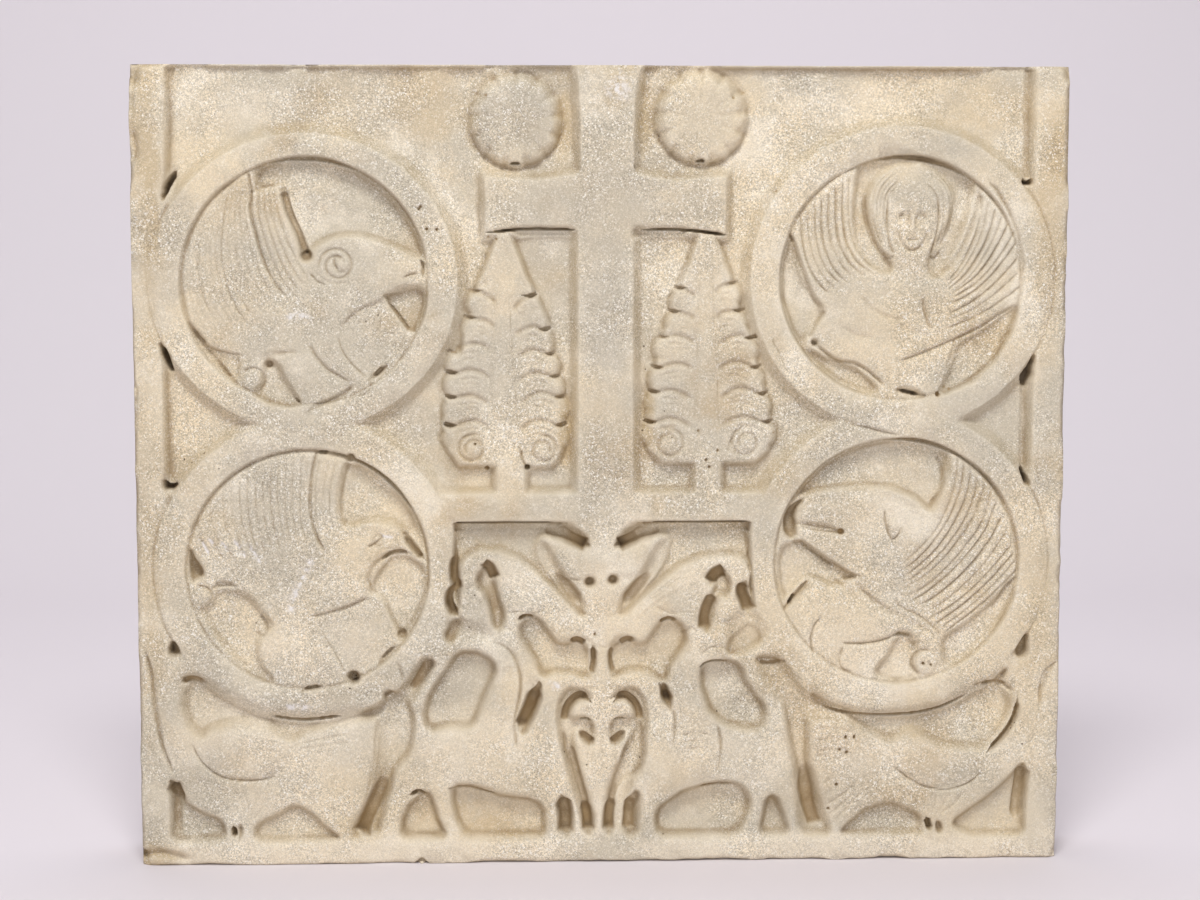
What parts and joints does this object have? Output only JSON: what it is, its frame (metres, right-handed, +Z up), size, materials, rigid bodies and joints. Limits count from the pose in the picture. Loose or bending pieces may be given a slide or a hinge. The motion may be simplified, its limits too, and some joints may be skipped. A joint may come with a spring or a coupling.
{
  "type": "stone relief panel",
  "caption": "Upright carved marble slab with a cross between trees, roundels with winged figures, and birds and beasts below.",
  "frame": {"origin": "middle of the underside, centred between the face and the back", "axes": "+X to the viewer's right along the width, +Y from the carved face towards the back, +Z up"},
  "size_m": [0.95, 0.1, 0.82],
  "materials": {
    "marble": "weathered crystalline marble, cream with grey patches and ochre stains in the recesses, matt with bright grains"
  },
  "bodies": {
    "root": {"relief_panel": "marble"}
  },
  "joints": []
}
